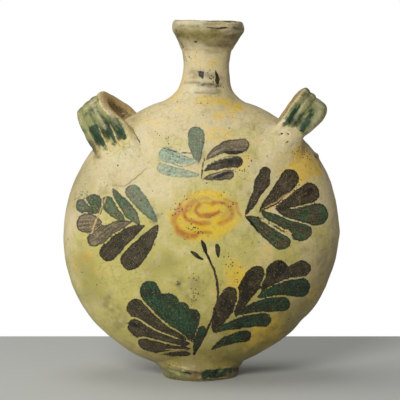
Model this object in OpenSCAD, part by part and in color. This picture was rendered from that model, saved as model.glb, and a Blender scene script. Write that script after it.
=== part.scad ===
// Glazed earthenware pilgrim flask. The flat round body is two thrown dishes joined rim to rim.
// A thrown neck and mouth stand on top, a foot ring below, and two ribbed strap handles
// bridge the body's edge from front to back, so that a carrying cord passes under them.
// Lengths are in millimetres. The body's axis is Y, the front faces -Y, and Z = 0 is the table.

/* [Body] */
// Diameter of the round body, seen from the front
body_d = 225; // [195:1:260]
// Depth of the body from front to back
body_depth = 116; // [108:1:136]
// Radius of the body's rounded edge
edge_r = 42; // [38:1:46]
// Thickness of the thrown wall
wall = 6; // [4:0.5:8]
// Height of the body's lowest point above the table
body_lift = 5; // [3.5:0.5:6.5]
// Radius of the clay coil pressed along the seam inside
seam_coil_r = 5; // [3:0.5:8]

/* [Neck] */
// Distance of the neck's axis to the right of the body's axis
neck_shift = 4; // [-6:0.5:6]
// Outside diameter of the neck at its waist
neck_waist_d = 36.5; // [34:0.5:38]
// Radius of the hollow curve down the neck's side
neck_curve_r = 42; // [34:1:70]
// Height of the waist above the top of the body
neck_waist_h = 23; // [19:0.5:27]
// Height of the neck above the top of the body
neck_h = 37; // [32:0.5:44]
// Diameter of the bore through the neck
neck_bore_d = 24; // [18:0.5:26]
// Outside diameter of the neck where it stands on the body
neck_root_d = 38.5; // [38:0.5:42]
// Radius of the cove of luting clay round the neck's root
neck_lute_r = 18; // [14:0.5:20]

/* [Mouth] */
// Outside diameter of the lip
lip_d = 59; // [54:0.5:68]
// Height of the upright band round the lip
lip_h = 9; // [7:0.5:12]
// Thickness of the lip
lip_t = 6.5; // [5:0.5:8]
// Height of the flared mouth with its lip
mouth_h = 23; // [20:0.5:30]
// How far the mouth's lower edge stands proud of the neck
mouth_step = 0.8; // [0.4:0.1:1.4]

/* [Foot] */
// Outside diameter of the foot ring where it stands
foot_d = 62; // [56:0.5:70]
// How much wider the foot ring is at its top
foot_flare = 3; // [1:0.5:5]
// Height of the foot ring's side
foot_h = 8; // [7:0.5:9]
// Width of the ring of clay that touches the table
foot_w = 9; // [7:0.5:12]
// Rise of the luting clay above the foot ring
foot_lute_h = 12; // [10:0.5:14]

/* [Handles] */
// Angle of each handle above the horizontal
handle_angle = 50; // [42:1:56]
// Height of the left handle above the body's edge
left_rise = 27.5; // [25:0.5:34]
// Height of the right handle above the body's edge
right_rise = 32; // [25:0.5:34]
// Width of the left strap at its top
left_strap_w = 26.5; // [22:0.5:30]
// Width of the right strap at its top
right_strap_w = 24; // [22:0.5:30]
// Number of ribs along the left strap
left_ribs = 4; // [2:1:5]
// Number of ribs along the right strap
right_ribs = 3; // [2:1:5]
// Turn of the left strap about the body's radius, in degrees
left_turn = 16; // [0:1:18]
// Turn of the right strap about the body's radius, in degrees
right_turn = 3; // [0:1:18]
// Thickness of the straps, ribs included
strap_t = 8; // [6.5:0.5:9.5]
// Depth of the grooves between the ribs
groove = 1.7; // [0.8:0.1:2.2]
// Width that each strap gains towards its roots
strap_spread = 6; // [2:0.5:9]
// Distance between the middles of a strap's two legs
strap_span = 52; // [46:1:56]
// Width of the pad of clay pressed round each root
pad_w = 40; // [38:0.5:46]
// Length of each pad, from the body's edge towards its face
pad_l = 28; // [24:0.5:32]
// Height of each pad above the body
pad_h = 5.5; // [4:0.5:7]

/* [Hidden] */
$fn = 144;
clay = "burlywood";
glaze = "khaki";
green = "darkseagreen";
left = -1;
right = 1;
front = -1;
back = 1;
body_r = body_d / 2;
centre_z = body_lift + body_r;
body_top = centre_z + body_r;
// The edge's arc is centred edge_c from the body's axis, and each face's arc meets it without a kink
edge_c = body_r - edge_r;
face_r = (pow(edge_c, 2) + pow(body_depth / 2, 2) - pow(edge_r, 2)) / (body_depth - 2 * edge_r);
face_c = face_r - body_depth / 2;
meet_angle = atan2(edge_c, face_c);
waist_z = body_top + neck_waist_h;
neck_top = body_top + neck_h;
rim_z = neck_top + mouth_h;
bore_r = neck_bore_d / 2;
neck_waist_r = neck_waist_d / 2;
neck_root_r = neck_root_d / 2;
// The arc down the neck's side is centred neck_arc_r from the neck's axis
neck_arc_r = neck_waist_r + neck_curve_r;
neck_top_angle = asin((neck_top - waist_z) / neck_curve_r);
neck_top_r = neck_arc_r - neck_curve_r * cos(neck_top_angle);
neck_root_angle = acos((neck_arc_r - neck_root_r) / neck_curve_r);
foot_r = foot_d / 2;
foot_top_r = foot_r + foot_flare / 2;
foot_inner_r = foot_r - foot_w;
// Radius of a strap's middle line over the body's edge
arch_r = strap_span / 2;
// Distance from the body's axis at which a strap's middle line meets the body
strap_root_z = edge_c + sqrt(pow(edge_r, 2) - pow(arch_r, 2));
// Thickness of luting clay at its feathered edges
lute_edge = 0.7;
// Depth to which a piece's blank is sunk in its neighbour before their surfaces are cut to match
sunk = 3;

// Points along an arc from angle a to angle b
function arc(centre, r, a, b, steps) =
    [for (i = [0:steps]) centre + r * [cos(a + (b - a) * i / steps), sin(a + (b - a) * i / steps)]];

// Triangles between two neighbouring rings of count points, the first of them number i
function ring_faces(i, next, count) = [
    for (j = [0:count - 1])
        let (k = (j + 1) % count)
        each [
            [i * count + j, next * count + j, i * count + k],
            [next * count + j, next * count + k, i * count + k]]];

// Half of the body's section in front of the seam, from its axis out to the edge
module shell_section(grow) {
    reach = 2 * body_r;
    difference() {
        intersection() {
            translate([0, -face_c]) circle(r = face_r + grow);
            square(reach);
        }
        difference() {
            polygon([[edge_c, 0], [edge_c + reach * tan(meet_angle), reach], [edge_c + reach, -edge_r]]);
            translate([edge_c, 0]) circle(r = edge_r + grow);
        }
    }
}

// Revolves its children about the body's axis, with the section's far side at the front
module about_body() {
    translate([0, 0, centre_z]) rotate([90, 0, 0]) rotate_extrude() children();
}

// The body's rounded edge, whole round: every piece that stands on the body stands on this
module body_edge(grow = 0) {
    about_body() translate([edge_c, 0]) circle(r = edge_r + grow);
}

module at_neck() {
    translate([neck_shift, 0, 0]) children();
}

module neck_column(r) {
    at_neck() translate([0, 0, centre_z]) cylinder(h = neck_top - centre_z, r = r);
}

module shell() {
    difference() {
        about_body() shell_section(0);
        about_body() shell_section(-wall);
        neck_column(bore_r);
    }
}

module front_shell() {
    color(glaze) shell();
}

module back_shell() {
    color(glaze) mirror([0, 1, 0]) shell();
}

// The coil is smeared into the angle of the seam, against both shells, and stops at the bore
module seam_coil() {
    color(clay) difference() {
        intersection() {
            about_body() translate([body_r - wall, 0]) circle(r = seam_coil_r);
            body_edge(-wall);
        }
        neck_column(bore_r);
    }
}

// The neck's side is hollowed by one arc about its waist, above a plain root
module neck() {
    sunk_z = centre_z + edge_c;
    color(glaze) difference() {
        at_neck() rotate_extrude() polygon(concat(
            [[bore_r, sunk_z], [neck_root_r, sunk_z]],
            arc([neck_arc_r, waist_z], neck_curve_r, 180 + neck_root_angle, 180 - neck_top_angle, 16),
            [[bore_r, neck_top]]));
        body_edge();
    }
}

// The cove's surface is swept by a ball that rolls round the neck's root and on the body's edge.
// Each spoke of the ring is a closed outline, from inside the neck to inside the body.
module neck_lute() {
    spokes = 40;
    steps = 6;
    ball = neck_lute_r;
    offset_r = neck_root_r + lute_edge + ball;
    count = steps + 4;
    function spoke(a) =
        let (
            across = [cos(a), sin(a), 0],
            flat = [neck_shift, 0, 0] + offset_r * across,
            q = edge_c + sqrt(pow(edge_r + lute_edge + ball, 2) - pow(flat[1], 2)),
            centre = flat + [0, 0, sqrt(pow(q, 2) - pow(flat[0], 2))],
            tube = edge_c / q * [centre[0], 0, centre[2]],
            down = (tube - centre) / norm(tube - centre),
            turn = acos(-down * across),
            root = [neck_shift, 0, 0] + (neck_root_r - sunk) * across
        )
        concat(
            [root + [0, 0, centre[2]]],
            [for (i = [0:steps]) centre + ball *
                (sin(turn * i / steps) * down - sin(turn * (1 - i / steps)) * across) / sin(turn)],
            [centre + (ball + sunk) * down, root + [0, 0, centre[2] - 2 * ball]]
        );
    color(glaze) difference() {
        translate([0, 0, centre_z]) polyhedron(
            [for (s = [0:spokes - 1]) each spoke(360 * s / spokes)],
            [for (s = [0:spokes - 1]) each ring_faces(s, (s + 1) % spokes, count)]);
        body_edge($fn = 256);
        neck_column(neck_root_r);
    }
}

// The mouth's outline runs from its lower edge out along the flare, up the lip and down the funnel
module mouth() {
    lip_r = lip_d / 2;
    top_round = lip_t / 2;
    low_round = lip_h / 6;
    lip_lean = 0.4;
    flare_sag = 1;
    funnel_bend = 1.3;
    lip_z = rim_z - lip_h + low_round;
    funnel_r = lip_r - lip_lean - lip_t - bore_r;
    funnel_top = rim_z - top_round;
    start = [neck_top_r + mouth_step, neck_top + mouth_step];
    end = [lip_r - low_round * 1.5, lip_z - low_round];
    color(glaze) at_neck() rotate_extrude() polygon(concat(
        [[bore_r, neck_top], [neck_top_r + mouth_step / 2, neck_top]],
        [for (t = [0:0.125:1]) start + (end - start) * t + flare_sag * sin(180 * t) * [0.7, -0.7]],
        arc([lip_r - low_round, lip_z], low_round, -60, 0, 4),
        arc([lip_r - lip_lean - top_round, funnel_top], top_round, 0, 180, 12),
        [for (t = [0.1:0.1:1])
            [bore_r + funnel_r * pow(1 - t, funnel_bend), funnel_top + (start[1] - funnel_top) * t]]));
}

module foot_ring() {
    edge_round = 1.2;
    color(green) difference() {
        rotate_extrude() polygon(concat(
            [[foot_inner_r, foot_h], [foot_inner_r + edge_round, 0]],
            arc([foot_r - edge_round, edge_round], edge_round, -90, 0, 4),
            [[foot_top_r, foot_h]]));
        body_edge();
    }
}

// The luting clay stands a little proud of the ring and fills the angle between it and the body
module foot_lute() {
    flare = 2.2;
    draw_in = 3.5;
    color(glaze) difference() {
        rotate_extrude() polygon([
            [foot_inner_r, foot_h],
            [foot_top_r - lute_edge, foot_h],
            [foot_top_r + flare, foot_h + flare],
            [foot_top_r - draw_in, foot_h + foot_lute_h],
            [foot_inner_r, foot_h + foot_lute_h]]);
        body_edge();
    }
}

// Carries a strap's own frame, whose Z is the body's radius, round to the strap's place
module at_handle(side) {
    translate([0, 0, centre_z])
        rotate([0, side * (90 - handle_angle), 0])
        rotate([0, 0, side * (side == right ? right_turn : left_turn)])
        children();
}

// A strap's section lies arch_r from the arch's centre, with round ribs along its outer face
module strap_section(ribs, w) {
    pitch = w / ribs;
    rib_r = (pow(groove, 2) + pow(pitch / 2, 2)) / (2 * groove);
    outer = arch_r + strap_t / 2;
    intersection() {
        translate([outer - strap_t, -w / 2]) square([strap_t, w]);
        union() {
            translate([0, -w / 2]) square([outer - groove, w]);
            for (i = [0:ribs - 1])
                translate([outer - rib_r, (i + 0.5 - ribs / 2) * pitch]) circle(r = rib_r);
        }
    }
}

// A strap rises from the front of the body, arches over its edge and goes down to the back.
// Its sides draw in evenly from its roots to its top.
module strap(side) {
    ribs = side == right ? right_ribs : left_ribs;
    top_w = side == right ? right_strap_w : left_strap_w;
    top = body_r + (side == right ? right_rise : left_rise);
    arch_z = top - arch_r - strap_t / 2;
    low_w = top_w + strap_spread * (top - edge_c) / (top - strap_root_z);
    at_handle(side) intersection() {
        union() {
            translate([0, 0, arch_z])
                rotate([0, -90, 0])
                rotate([0, 0, -90])
                rotate_extrude(angle = 180)
                strap_section(ribs, top_w + strap_spread);
            for (face = [front, back])
                translate([0, 0, edge_c])
                    rotate([0, 0, face * 90])
                    linear_extrude(height = arch_z - edge_c)
                    strap_section(ribs, top_w + strap_spread);
        }
        rotate([90, 0, 0])
            linear_extrude(height = 4 * arch_r, center = true)
            polygon([[-low_w / 2, edge_c], [low_w / 2, edge_c], [top_w / 2, top], [-top_w / 2, top]]);
    }
}

module handle(side) {
    color(green) difference() {
        strap(side);
        body_edge();
    }
}

module left_handle() {
    handle(left);
}

module right_handle() {
    handle(right);
}

// A pad of clay is pressed round each root: its rings shrink and rise as they follow the body's curve
module pad(side, face) {
    spokes = 28;
    steps = 5;
    lean = asin(arch_r / edge_r);
    top_share = 0.2;
    function ring(share, height) = [
        for (s = [0:spokes - 1])
            let (x = share * pad_w / 2 * cos(360 * s / spokes), y = share * pad_l / 2 * sin(360 * s / spokes))
            [x, y, height + sqrt(pow(edge_r, 2) - pow(y, 2)) - pow(x, 2) / body_d]];
    rings = concat(
        [ring(1, -sunk)],
        [for (i = [0:steps])
            let (a = acos(top_share) * i / steps)
            ring(cos(a), lute_edge + (pad_h - lute_edge) * sin(a))]);
    last = len(rings) - 1;
    color(glaze) difference() {
        difference() {
            at_handle(side)
                translate([0, 0, edge_c])
                rotate([-face * lean, 0, 0])
                polyhedron([for (r = rings) each r], concat(
                    [for (i = [0:last - 1]) each ring_faces(i, i + 1, spokes)],
                    [[for (s = [0:spokes - 1]) s], [for (s = [spokes - 1:-1:0]) last * spokes + s]]));
            body_edge();
        }
        strap(side);
    }
}

module left_front_pad() {
    pad(left, front);
}

module left_back_pad() {
    pad(left, back);
}

module right_front_pad() {
    pad(right, front);
}

module right_back_pad() {
    pad(right, back);
}

front_shell();
back_shell();
seam_coil();
neck();
neck_lute();
mouth();
foot_ring();
foot_lute();
left_handle();
right_handle();
left_front_pad();
left_back_pad();
right_front_pad();
right_back_pad();
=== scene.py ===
import math

import bpy
import numpy as np
import openvdb
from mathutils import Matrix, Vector


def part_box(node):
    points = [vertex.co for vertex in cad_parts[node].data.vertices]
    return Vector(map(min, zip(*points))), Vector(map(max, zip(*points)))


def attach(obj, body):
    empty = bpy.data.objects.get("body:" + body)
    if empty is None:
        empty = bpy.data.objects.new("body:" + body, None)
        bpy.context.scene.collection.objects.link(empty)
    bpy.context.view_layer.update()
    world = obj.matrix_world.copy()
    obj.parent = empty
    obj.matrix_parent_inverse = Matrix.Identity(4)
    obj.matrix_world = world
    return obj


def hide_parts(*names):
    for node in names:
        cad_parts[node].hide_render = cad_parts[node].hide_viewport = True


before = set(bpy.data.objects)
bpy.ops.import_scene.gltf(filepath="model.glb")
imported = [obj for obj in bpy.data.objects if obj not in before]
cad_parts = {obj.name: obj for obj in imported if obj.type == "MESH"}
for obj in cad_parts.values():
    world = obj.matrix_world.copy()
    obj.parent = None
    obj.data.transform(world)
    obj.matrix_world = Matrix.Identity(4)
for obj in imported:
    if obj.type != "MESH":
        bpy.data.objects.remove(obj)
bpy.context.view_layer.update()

# Lengths below are in millimetres in the frame's axes, and meshes are written in metres.
MM = 0.001
SHELL_LO, SHELL_HI = (np.array(corner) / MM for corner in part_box("front_shell"))
MOUTH_LO, MOUTH_HI = (np.array(corner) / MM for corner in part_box("mouth"))
FOOT_LO, FOOT_HI = (np.array(corner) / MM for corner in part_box("foot_ring"))
BODY_R = (SHELL_HI[0] - SHELL_LO[0]) / 2
CENTRE_Z = (SHELL_HI[2] + SHELL_LO[2]) / 2
HALF_DEPTH = -SHELL_LO[1]
NECK_X = (MOUTH_LO[0] + MOUTH_HI[0]) / 2
RIM_Z = MOUTH_HI[2]
BORE_R = 12.0
WALL = 6.0
# The body's section: an arc for each face that runs into the arc of the rounded edge
EDGE_R = 42.0
EDGE_C = BODY_R - EDGE_R
FACE_R = (EDGE_C ** 2 + HALF_DEPTH ** 2 - EDGE_R ** 2) / (2 * (HALF_DEPTH - EDGE_R))
FACE_C = FACE_R - HALF_DEPTH

# The photograph's frame, in pixels, and what it shows at the plane y = 0
FRAME_PX = 400
PX = 0.82
PHOTO_X = 201.0
PHOTO_Z = 374.5
EYE = np.array([(FRAME_PX / 2 - PHOTO_X) * PX, -1450.0, 280.0])
AIM = np.array([EYE[0], 0.0, (PHOTO_Z - FRAME_PX / 2) * PX + 1.2])
# The view's axes, and the distance in pixels from the eye to the picture
FORWARD = (AIM - EYE) / np.linalg.norm(AIM - EYE)
RIGHT = np.array([1.0, 0.0, 0.0])
UP = np.cross(RIGHT, FORWARD)
PICTURE_PX = 1.004 * np.linalg.norm(AIM - EYE) / PX

# Brush colours, in order along one colour ramp, each with the colour that it turns to in patches
COLOURS = {
    "cream": ((0.74, 0.60, 0.27), (0.60, 0.40, 0.15)),
    "tan": ((0.50, 0.32, 0.12), (0.66, 0.47, 0.20)),
    "pale": ((0.30, 0.38, 0.25), (0.42, 0.43, 0.27)),
    "sage": ((0.155, 0.205, 0.118), (0.22, 0.19, 0.115)),
    "moss": ((0.072, 0.122, 0.056), (0.135, 0.135, 0.075)),
    "green": ((0.046, 0.084, 0.036), (0.068, 0.056, 0.028)),
    "emerald": ((0.016, 0.056, 0.026), (0.022, 0.030, 0.014)),
    "black": ((0.016, 0.011, 0.007), (0.048, 0.034, 0.017)),
    "umber": ((0.066, 0.048, 0.028), (0.036, 0.030, 0.016)),
    "brown": ((0.21, 0.165, 0.10), (0.145, 0.115, 0.068)),
    "rust": ((0.36, 0.16, 0.05), (0.50, 0.26, 0.08)),
}
COLOUR_AT = {name: i / (len(COLOURS) - 1) for i, name in enumerate(COLOURS)}
# Distance given to points that no brush stroke reaches
UNPAINTED = 9.0


def smooth(x, low=0.0, high=1.0):
    """Rises smoothly from 0 at low to 1 at high."""
    t = np.clip((x - low) / (high - low), 0, 1)
    return t * t * (3 - 2 * t)


def bump(x, z, at, size):
    """A smooth mound of height 1 at a point of the photograph, size mm across to each side."""
    return np.exp(-((x - at[0]) ** 2 + (z - at[1]) ** 2) / (size / 1.5) ** 2)


# Turns the noise's grid, so that its cells don't run along the axes
TURNED = np.array([[2, 2, 1], [-2, 1, 2], [1, -2, 2]], np.float32) / 3


def noise(p, cell, seed):
    """Smooth noise from -1 to 1 with lumps about cell mm across."""
    count = 24
    table = np.random.default_rng(seed).uniform(-1, 1, (count,) * 3).astype(np.float32)
    q = np.asarray(p, np.float32) @ TURNED / cell + 100
    low = np.floor(q).astype(int)
    f = q - low
    f = f * f * (3 - 2 * f)
    total = 0
    for corner in np.ndindex(2, 2, 2):
        share = 1
        for axis in range(3):
            share = share * (f[..., axis] if corner[axis] else 1 - f[..., axis])
        i, j, k = ((low[..., axis] + corner[axis]) % count for axis in range(3))
        total = total + share * table[i, j, k]
    return total


def smooth_min(a, b, k):
    """The lower of two distances, with a fillet about k mm wide where they meet."""
    h = np.maximum(k - np.abs(a - b), 0) / k
    return np.minimum(a, b) - h * h * k / 4


def rounded(points, times=2):
    """A closed or open outline with its corners cut, so that it runs smoothly."""
    points = np.array(points, float)
    for _ in range(times):
        a, b = points[:-1], points[1:]
        cut = np.stack([a * 0.75 + b * 0.25, a * 0.25 + b * 0.75], axis=1).reshape(-1, 2)
        points = np.vstack([points[:1], cut, points[-1:]])
    return points


def outline_distance(r, z, outline):
    """Signed distance from points to a closed outline of (r, z) corners, negative inside."""
    near = np.full(r.shape, 1e9, np.float32)
    inside = np.zeros(r.shape, bool)
    for a, b in zip(outline, np.roll(outline, -1, axis=0)):
        edge = b - a
        length = float(edge @ edge)
        if length < 1e-9:
            continue
        t = np.clip(((r - a[0]) * edge[0] + (z - a[1]) * edge[1]) / length, 0, 1)
        near = np.minimum(near, (r - a[0] - t * edge[0]) ** 2 + (z - a[1] - t * edge[1]) ** 2)
        if a[1] != b[1]:
            crosses = (a[1] > z) != (b[1] > z)
            inside ^= crosses & (r < edge[0] * (z - a[1]) / edge[1] + a[0])
    return np.where(inside, -1, 1) * np.sqrt(near)


# How the thrown body strays from a true circle: degrees from the right, and mm outwards
STRAY = [(0, 0.4), (22, 1.2), (45, 0.6), (90, 0.2), (135, -1.0), (165, -0.6), (195, 0.7), (222, 1.2),
    (245, 0.7), (268, 0.2), (300, -2.8), (318, -2.2), (332, -1.7), (346, -0.7), (360, 0.4)]


def body_field(p, stray=1.0):
    """Distance from the body's outer face."""
    x, y, z = p[..., 0], np.abs(p[..., 1]), p[..., 2] - CENTRE_Z
    q = np.hypot(x, z)
    if stray:
        angle = np.degrees(np.arctan2(z, x)) % 360
        at = np.array([a for a, _ in STRAY], float)
        out = np.array([o for _, o in STRAY], float)
        k = np.clip(np.searchsorted(at, angle, side="right") - 1, 0, len(at) - 2)
        t = smooth((angle - at[k]) / (at[k + 1] - at[k]))
        q = q - stray * (out[k] + (out[k + 1] - out[k]) * t) * smooth(q, 0.4 * BODY_R, BODY_R)
    face = np.hypot(q, y + FACE_C) - FACE_R
    edge = np.hypot(q - EDGE_C, y) - EDGE_R
    return np.where(q * FACE_C < (y + FACE_C) * EDGE_C, face, edge)


def relief(p):
    """How far the hand-made surface stands out of its smooth form."""
    return (0.6 * noise(p, 55, 1) + 0.5 * noise(p, 24, 2) + 0.28 * noise(p, 9, 3)
        + 0.12 * noise(p, 3.6, 4))


def surface(field, lo, hi, voxel):
    """The closed surface where field is 0, as points and four-cornered faces."""
    axes = [np.arange(a, b + voxel, voxel, dtype=np.float32) for a, b in zip(lo, hi)]
    grid = np.stack(np.meshgrid(*axes, indexing="ij"), axis=-1)
    volume = openvdb.FloatGrid(10.0)
    volume.copyFromArray(np.asarray(field(grid), np.float32))
    points, quads = volume.convertToQuads(isovalue=0.0)
    points = points.astype(float) * voxel + np.array(lo, float)
    quads = quads.astype(int)
    a, b, c, d = (points[quads[:, i]] for i in range(4))
    volume_sum = (np.cross(a, b) * c).sum() + (np.cross(a, c) * d).sum()
    return points, quads if volume_sum > 0 else quads[:, ::-1]


def slope(field, points, step=0.25):
    """Unit directions in which the field rises fastest."""
    rise = np.stack([field(points + step * axis) - field(points - step * axis) for axis in np.eye(3)], axis=-1)
    return rise / np.maximum(np.linalg.norm(rise, axis=-1, keepdims=True), 1e-9)


def make_object(name, points, faces):
    mesh = bpy.data.meshes.new(name)
    mesh.from_pydata((points * MM).tolist(), [], faces.tolist())
    mesh.validate()
    mesh.shade_smooth()
    piece = bpy.data.objects.new(name, mesh)
    bpy.context.scene.collection.objects.link(piece)
    return piece


def places(piece):
    """The mesh's points in millimetres."""
    co = np.zeros(len(piece.data.vertices) * 3, np.float32)
    piece.data.vertices.foreach_get("co", co)
    return co.reshape(-1, 3).astype(float) / MM


def normals(piece):
    out = np.zeros(len(piece.data.vertices) * 3, np.float32)
    piece.data.vertices.foreach_get("normal", out)
    return out.reshape(-1, 3)


def photo_place(p):
    """Where points appear in the photograph, in its pixels."""
    away = (p - EYE) @ FORWARD
    across, up = (p - EYE) @ RIGHT / away, (p - EYE) @ UP / away
    return FRAME_PX / 2 + PICTURE_PX * np.stack([across, -up], axis=-1)


# Brush strokes, each from its base to the centre of its round tip, in the photograph's pixels:
# colour, base, tip, half width at the tip, sideways bend, form. A joined stroke is one leaf with the last.
CLUB, BLADE, LOBED, LINE, JOINED = "club", "blade", "lobed", "line", "joined"
# Width in mm of the bare ground between two leaves
LEAF_GAP = 0.8
TOP_SPRAY = [
    ("sage", (198.0, 162.0), (196.3, 135.3), 9.0, 0.5, CLUB),
    ("pale", (197.5, 161.0), (166.5, 154.0), 7.7, 3.4, CLUB),
    ("brown", (206.0, 160.0), (242.8, 145.0), 6.8, 4.4, CLUB),
    ("pale", (199.0, 175.0), (162.8, 168.0), 5.9, 1.2, CLUB),
    ("umber", (204.0, 171.3), (236.6, 161.8), 6.2, 2.2, CLUB),
    ("brown", (203.0, 179.8), (229.2, 174.6), 5.0, 1.4, CLUB),
]
LEFT_SPRAY = [
    ("sage", (157.6, 221.3), (133.2, 192.0), 7.9, 0.9, CLUB),
    ("moss", (140.0, 224.0), (113.0, 189.0), 6.0, 1.4, BLADE),
    ("moss", (125.0, 221.5), (108.0, 203.0), 7.0, 0.8, CLUB),
    ("moss", (100.0, 213.0), (93.6, 202.8), 8.6, 0.0, CLUB),
    ("moss", (99.0, 212.0), (82.6, 205.6), 6.6, 0.0, CLUB),
    ("brown", (101.0, 222.0), (86.8, 223.2), 10.3, 0.0, CLUB),
    ("brown", (131.0, 222.6), (94.0, 239.6), 8.4, -2.2, LOBED),
    ("umber", (144.5, 225.4), (108.8, 252.4), 9.2, -2.6, CLUB),
    ("umber", (158.6, 225.2), (130.6, 260.6), 9.9, 0.8, CLUB),
]
RIGHT_SPRAY = [
    ("umber", (245.4, 214.6), (265.0, 172.0), 6.4, -1.8, LOBED),
    ("umber", (259.4, 210.9), (289.6, 178.6), 9.5, -2.0, CLUB),
    ("umber", (276.0, 209.0), (309.6, 192.6), 9.9, -1.2, CLUB),
    ("green", (277.0, 209.6), (317.6, 213.8), 10.8, -2.4, CLUB),
    ("green", (261.6, 211.8), (302.0, 230.6), 10.3, -3.4, CLUB),
    ("green", (246.4, 216.6), (281.0, 240.0), 10.1, 1.8, CLUB),
    ("green", (258.0, 219.0), (288.0, 231.0), 7.2, -1.0, CLUB),
]
LOW_RIGHT_SPRAY = [
    ("black", (213.8, 331.0), (231.0, 297.0), 10.6, 1.4, CLUB),
    ("black", (236.4, 315.6), (256.6, 275.6), 9.9, 2.4, CLUB),
    ("black", (262.0, 290.0), (278.6, 270.6), 10.3, 0.8, CLUB),
    ("umber", (268.0, 286.0), (302.0, 268.6), 8.4, 1.0, JOINED),
    ("emerald", (258.0, 297.0), (301.0, 287.2), 9.5, 3.6, CLUB),
    ("emerald", (239.4, 314.0), (282.8, 304.0), 7.7, 2.8, CLUB),
    ("emerald", (215.0, 332.6), (264.6, 319.6), 7.0, 3.0, CLUB),
    ("emerald", (211.8, 348.8), (245.6, 336.0), 5.9, 2.2, CLUB),
]
LOW_LEFT_SPRAY = [
    ("emerald", (191.0, 339.6), (149.4, 290.4), 9.9, 3.2, CLUB),
    ("emerald", (191.5, 340.6), (168.5, 302.0), 9.5, 2.0, JOINED),
    ("emerald", (192.0, 340.6), (181.0, 310.6), 8.8, 0.5, JOINED),
    ("emerald", (192.6, 339.6), (191.4, 316.6), 8.4, 0.5, JOINED),
    ("umber", (189.8, 338.4), (136.4, 308.4), 9.7, 4.4, CLUB),
    ("umber", (189.6, 343.2), (137.6, 326.4), 9.5, 3.4, CLUB),
    ("umber", (190.4, 348.2), (146.6, 341.4), 8.1, 2.4, CLUB),
    ("umber", (191.0, 353.4), (160.0, 353.2), 4.0, -0.5, BLADE),
    ("emerald", (194.4, 353.2), (201.6, 331.6), 5.7, 0.4, CLUB),
]
STROKES = TOP_SPRAY + LEFT_SPRAY + RIGHT_SPRAY + LOW_RIGHT_SPRAY + LOW_LEFT_SPRAY
STEM_POINTS = [(203.0, 247.0), (206.4, 253.0), (210.4, 261.0), (214.2, 270.6), (216.8, 281.0), (217.8, 291.0),
    (217.4, 300.6), (215.2, 310.6), (211.2, 321.4), (206.0, 333.4), (199.4, 343.6), (194.6, 353.6)]
STEM = [("black", a, b, 1.15, 0.0, LINE) for a, b in zip(STEM_POINTS, STEM_POINTS[1:])]
SEPALS = [
    ("black", (207.0, 253.5), (201.6, 240.5), 2.3, 0.0, BLADE),
    ("black", (190.8, 251.4), (203.6, 260.0), 2.0, -0.4, BLADE),
    ("black", (217.2, 243.4), (218.8, 257.6), 2.5, 0.3, BLADE),
]
DARK_MARKS = [
    ("black", (222.5, 152.6), (244.0, 151.4), 1.9, -0.5, BLADE),
    ("black", (206.0, 167.6), (226.0, 160.0), 2.2, 0.4, LOBED),
    ("black", (221.0, 164.0), (240.0, 161.4), 3.0, 0.6, LOBED),
    ("black", (212.0, 178.0), (233.0, 172.6), 1.8, 0.6, BLADE),
    ("black", (299.0, 190.0), (312.0, 189.0), 1.5, -1.6, LOBED),
    ("black", (302.0, 199.0), (310.0, 194.4), 1.8, 0.8, LOBED),
    ("black", (124.6, 322.8), (137.6, 326.6), 1.6, 1.0, LOBED),
    ("black", (245.2, 215.2), (259.6, 235.0), 1.3, 0.8, BLADE),
    ("umber", (201.4, 178.6), (204.0, 158.6), 0.7, 0.6, LINE),
    ("umber", (193.0, 153.4), (157.0, 144.6), 0.7, 2.2, BLADE),
    ("black", (202.4, 78.8), (200.4, 73.4), 2.8, -0.4, LOBED),
    ("black", (196.6, 72.2), (205.0, 71.8), 0.7, 0.0, BLADE),
    ("black", (215.6, 70.4), (217.3, 82.4), 2.2, 0.5, LOBED),
    # Painted shade in the fold under the lip
    ("umber", (204.0, 26.6), (227.0, 28.0), 0.9, -0.5, LOBED),
    ("umber", (206.0, 21.0), (236.0, 21.8), 0.6, 0.2, LOBED),
    ("black", (281.0, 133.4), (282.0, 133.9), 1.3, 0.0, CLUB),
    ("black", (287.4, 133.6), (288.0, 134.0), 1.0, 0.0, CLUB),
    ("black", (299.4, 130.4), (303.6, 132.0), 0.8, 0.0, LOBED),
    ("umber", (304.6, 133.0), (307.0, 136.6), 0.8, 0.4, LOBED),
    ("umber", (285.0, 143.4), (289.6, 141.0), 0.6, 0.4, BLADE),
    ("black", (182.4, 372.4), (191.4, 374.4), 0.9, 0.3, LOBED),
    ("black", (233.8, 367.6), (236.0, 372.6), 1.7, 0.0, BLADE),
    ("black", (205.6, 372.6), (217.0, 373.4), 0.5, 0.3, BLADE),
    ("umber", (126.0, 120.0), (140.6, 144.6), 0.5, 0.9, LOBED),
]
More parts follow.
